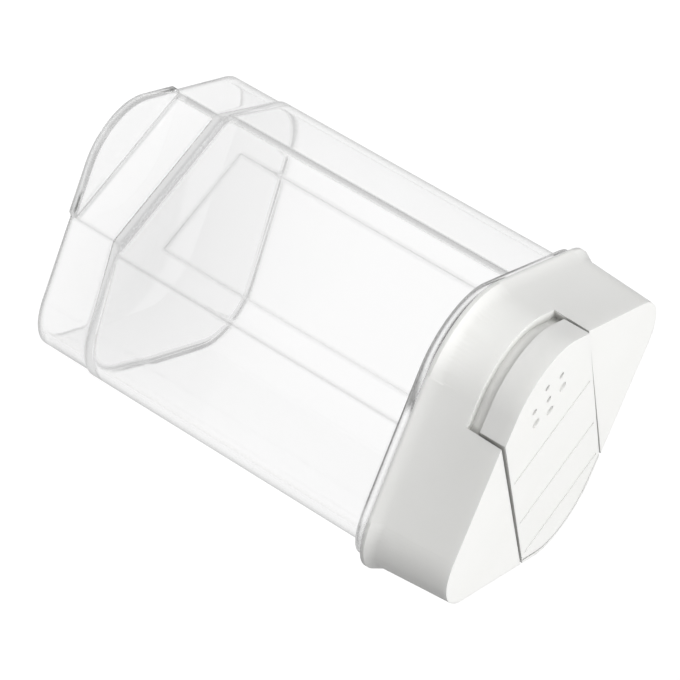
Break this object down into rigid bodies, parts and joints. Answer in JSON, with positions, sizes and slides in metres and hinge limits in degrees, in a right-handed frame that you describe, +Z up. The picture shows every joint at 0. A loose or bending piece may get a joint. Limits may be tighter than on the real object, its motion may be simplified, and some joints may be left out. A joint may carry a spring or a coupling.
{
  "type": "spice dispenser jar",
  "caption": "Clear square jar with rounded corners and a flat front panel, closed by a white cap whose rocking flap opens sprinkle holes.",
  "frame": {"origin": "centre of the jar's outline on the surface it stands on", "axes": "+Z up from the foot to the cap, -Y towards the corner with the flat panel and the sprinkle holes"},
  "size_m": [0.0658, 0.0646, 0.0865],
  "materials": {
    "clear_plastic": "clear moulded, polished",
    "white_plastic": "moulded, satin gloss"
  },
  "bodies": {
    "jar": {"jar_body": "clear_plastic"},
    "cap": {"cap_shell": "white_plastic"},
    "rocker": {"flap": "white_plastic"}
  },
  "joints": [
    {"name": "cap_lift", "type": "slide", "parent": "jar", "child": "cap", "axis": [0, 0, 1], "range_m": [0, 0.03]},
    {"name": "flap_rock", "type": "hinge", "parent": "cap", "child": "rocker", "pos_m": [0, -0.0079, 0.0835], "axis": [-1, 0, 0], "range_deg": [0, 8]}
  ]
}
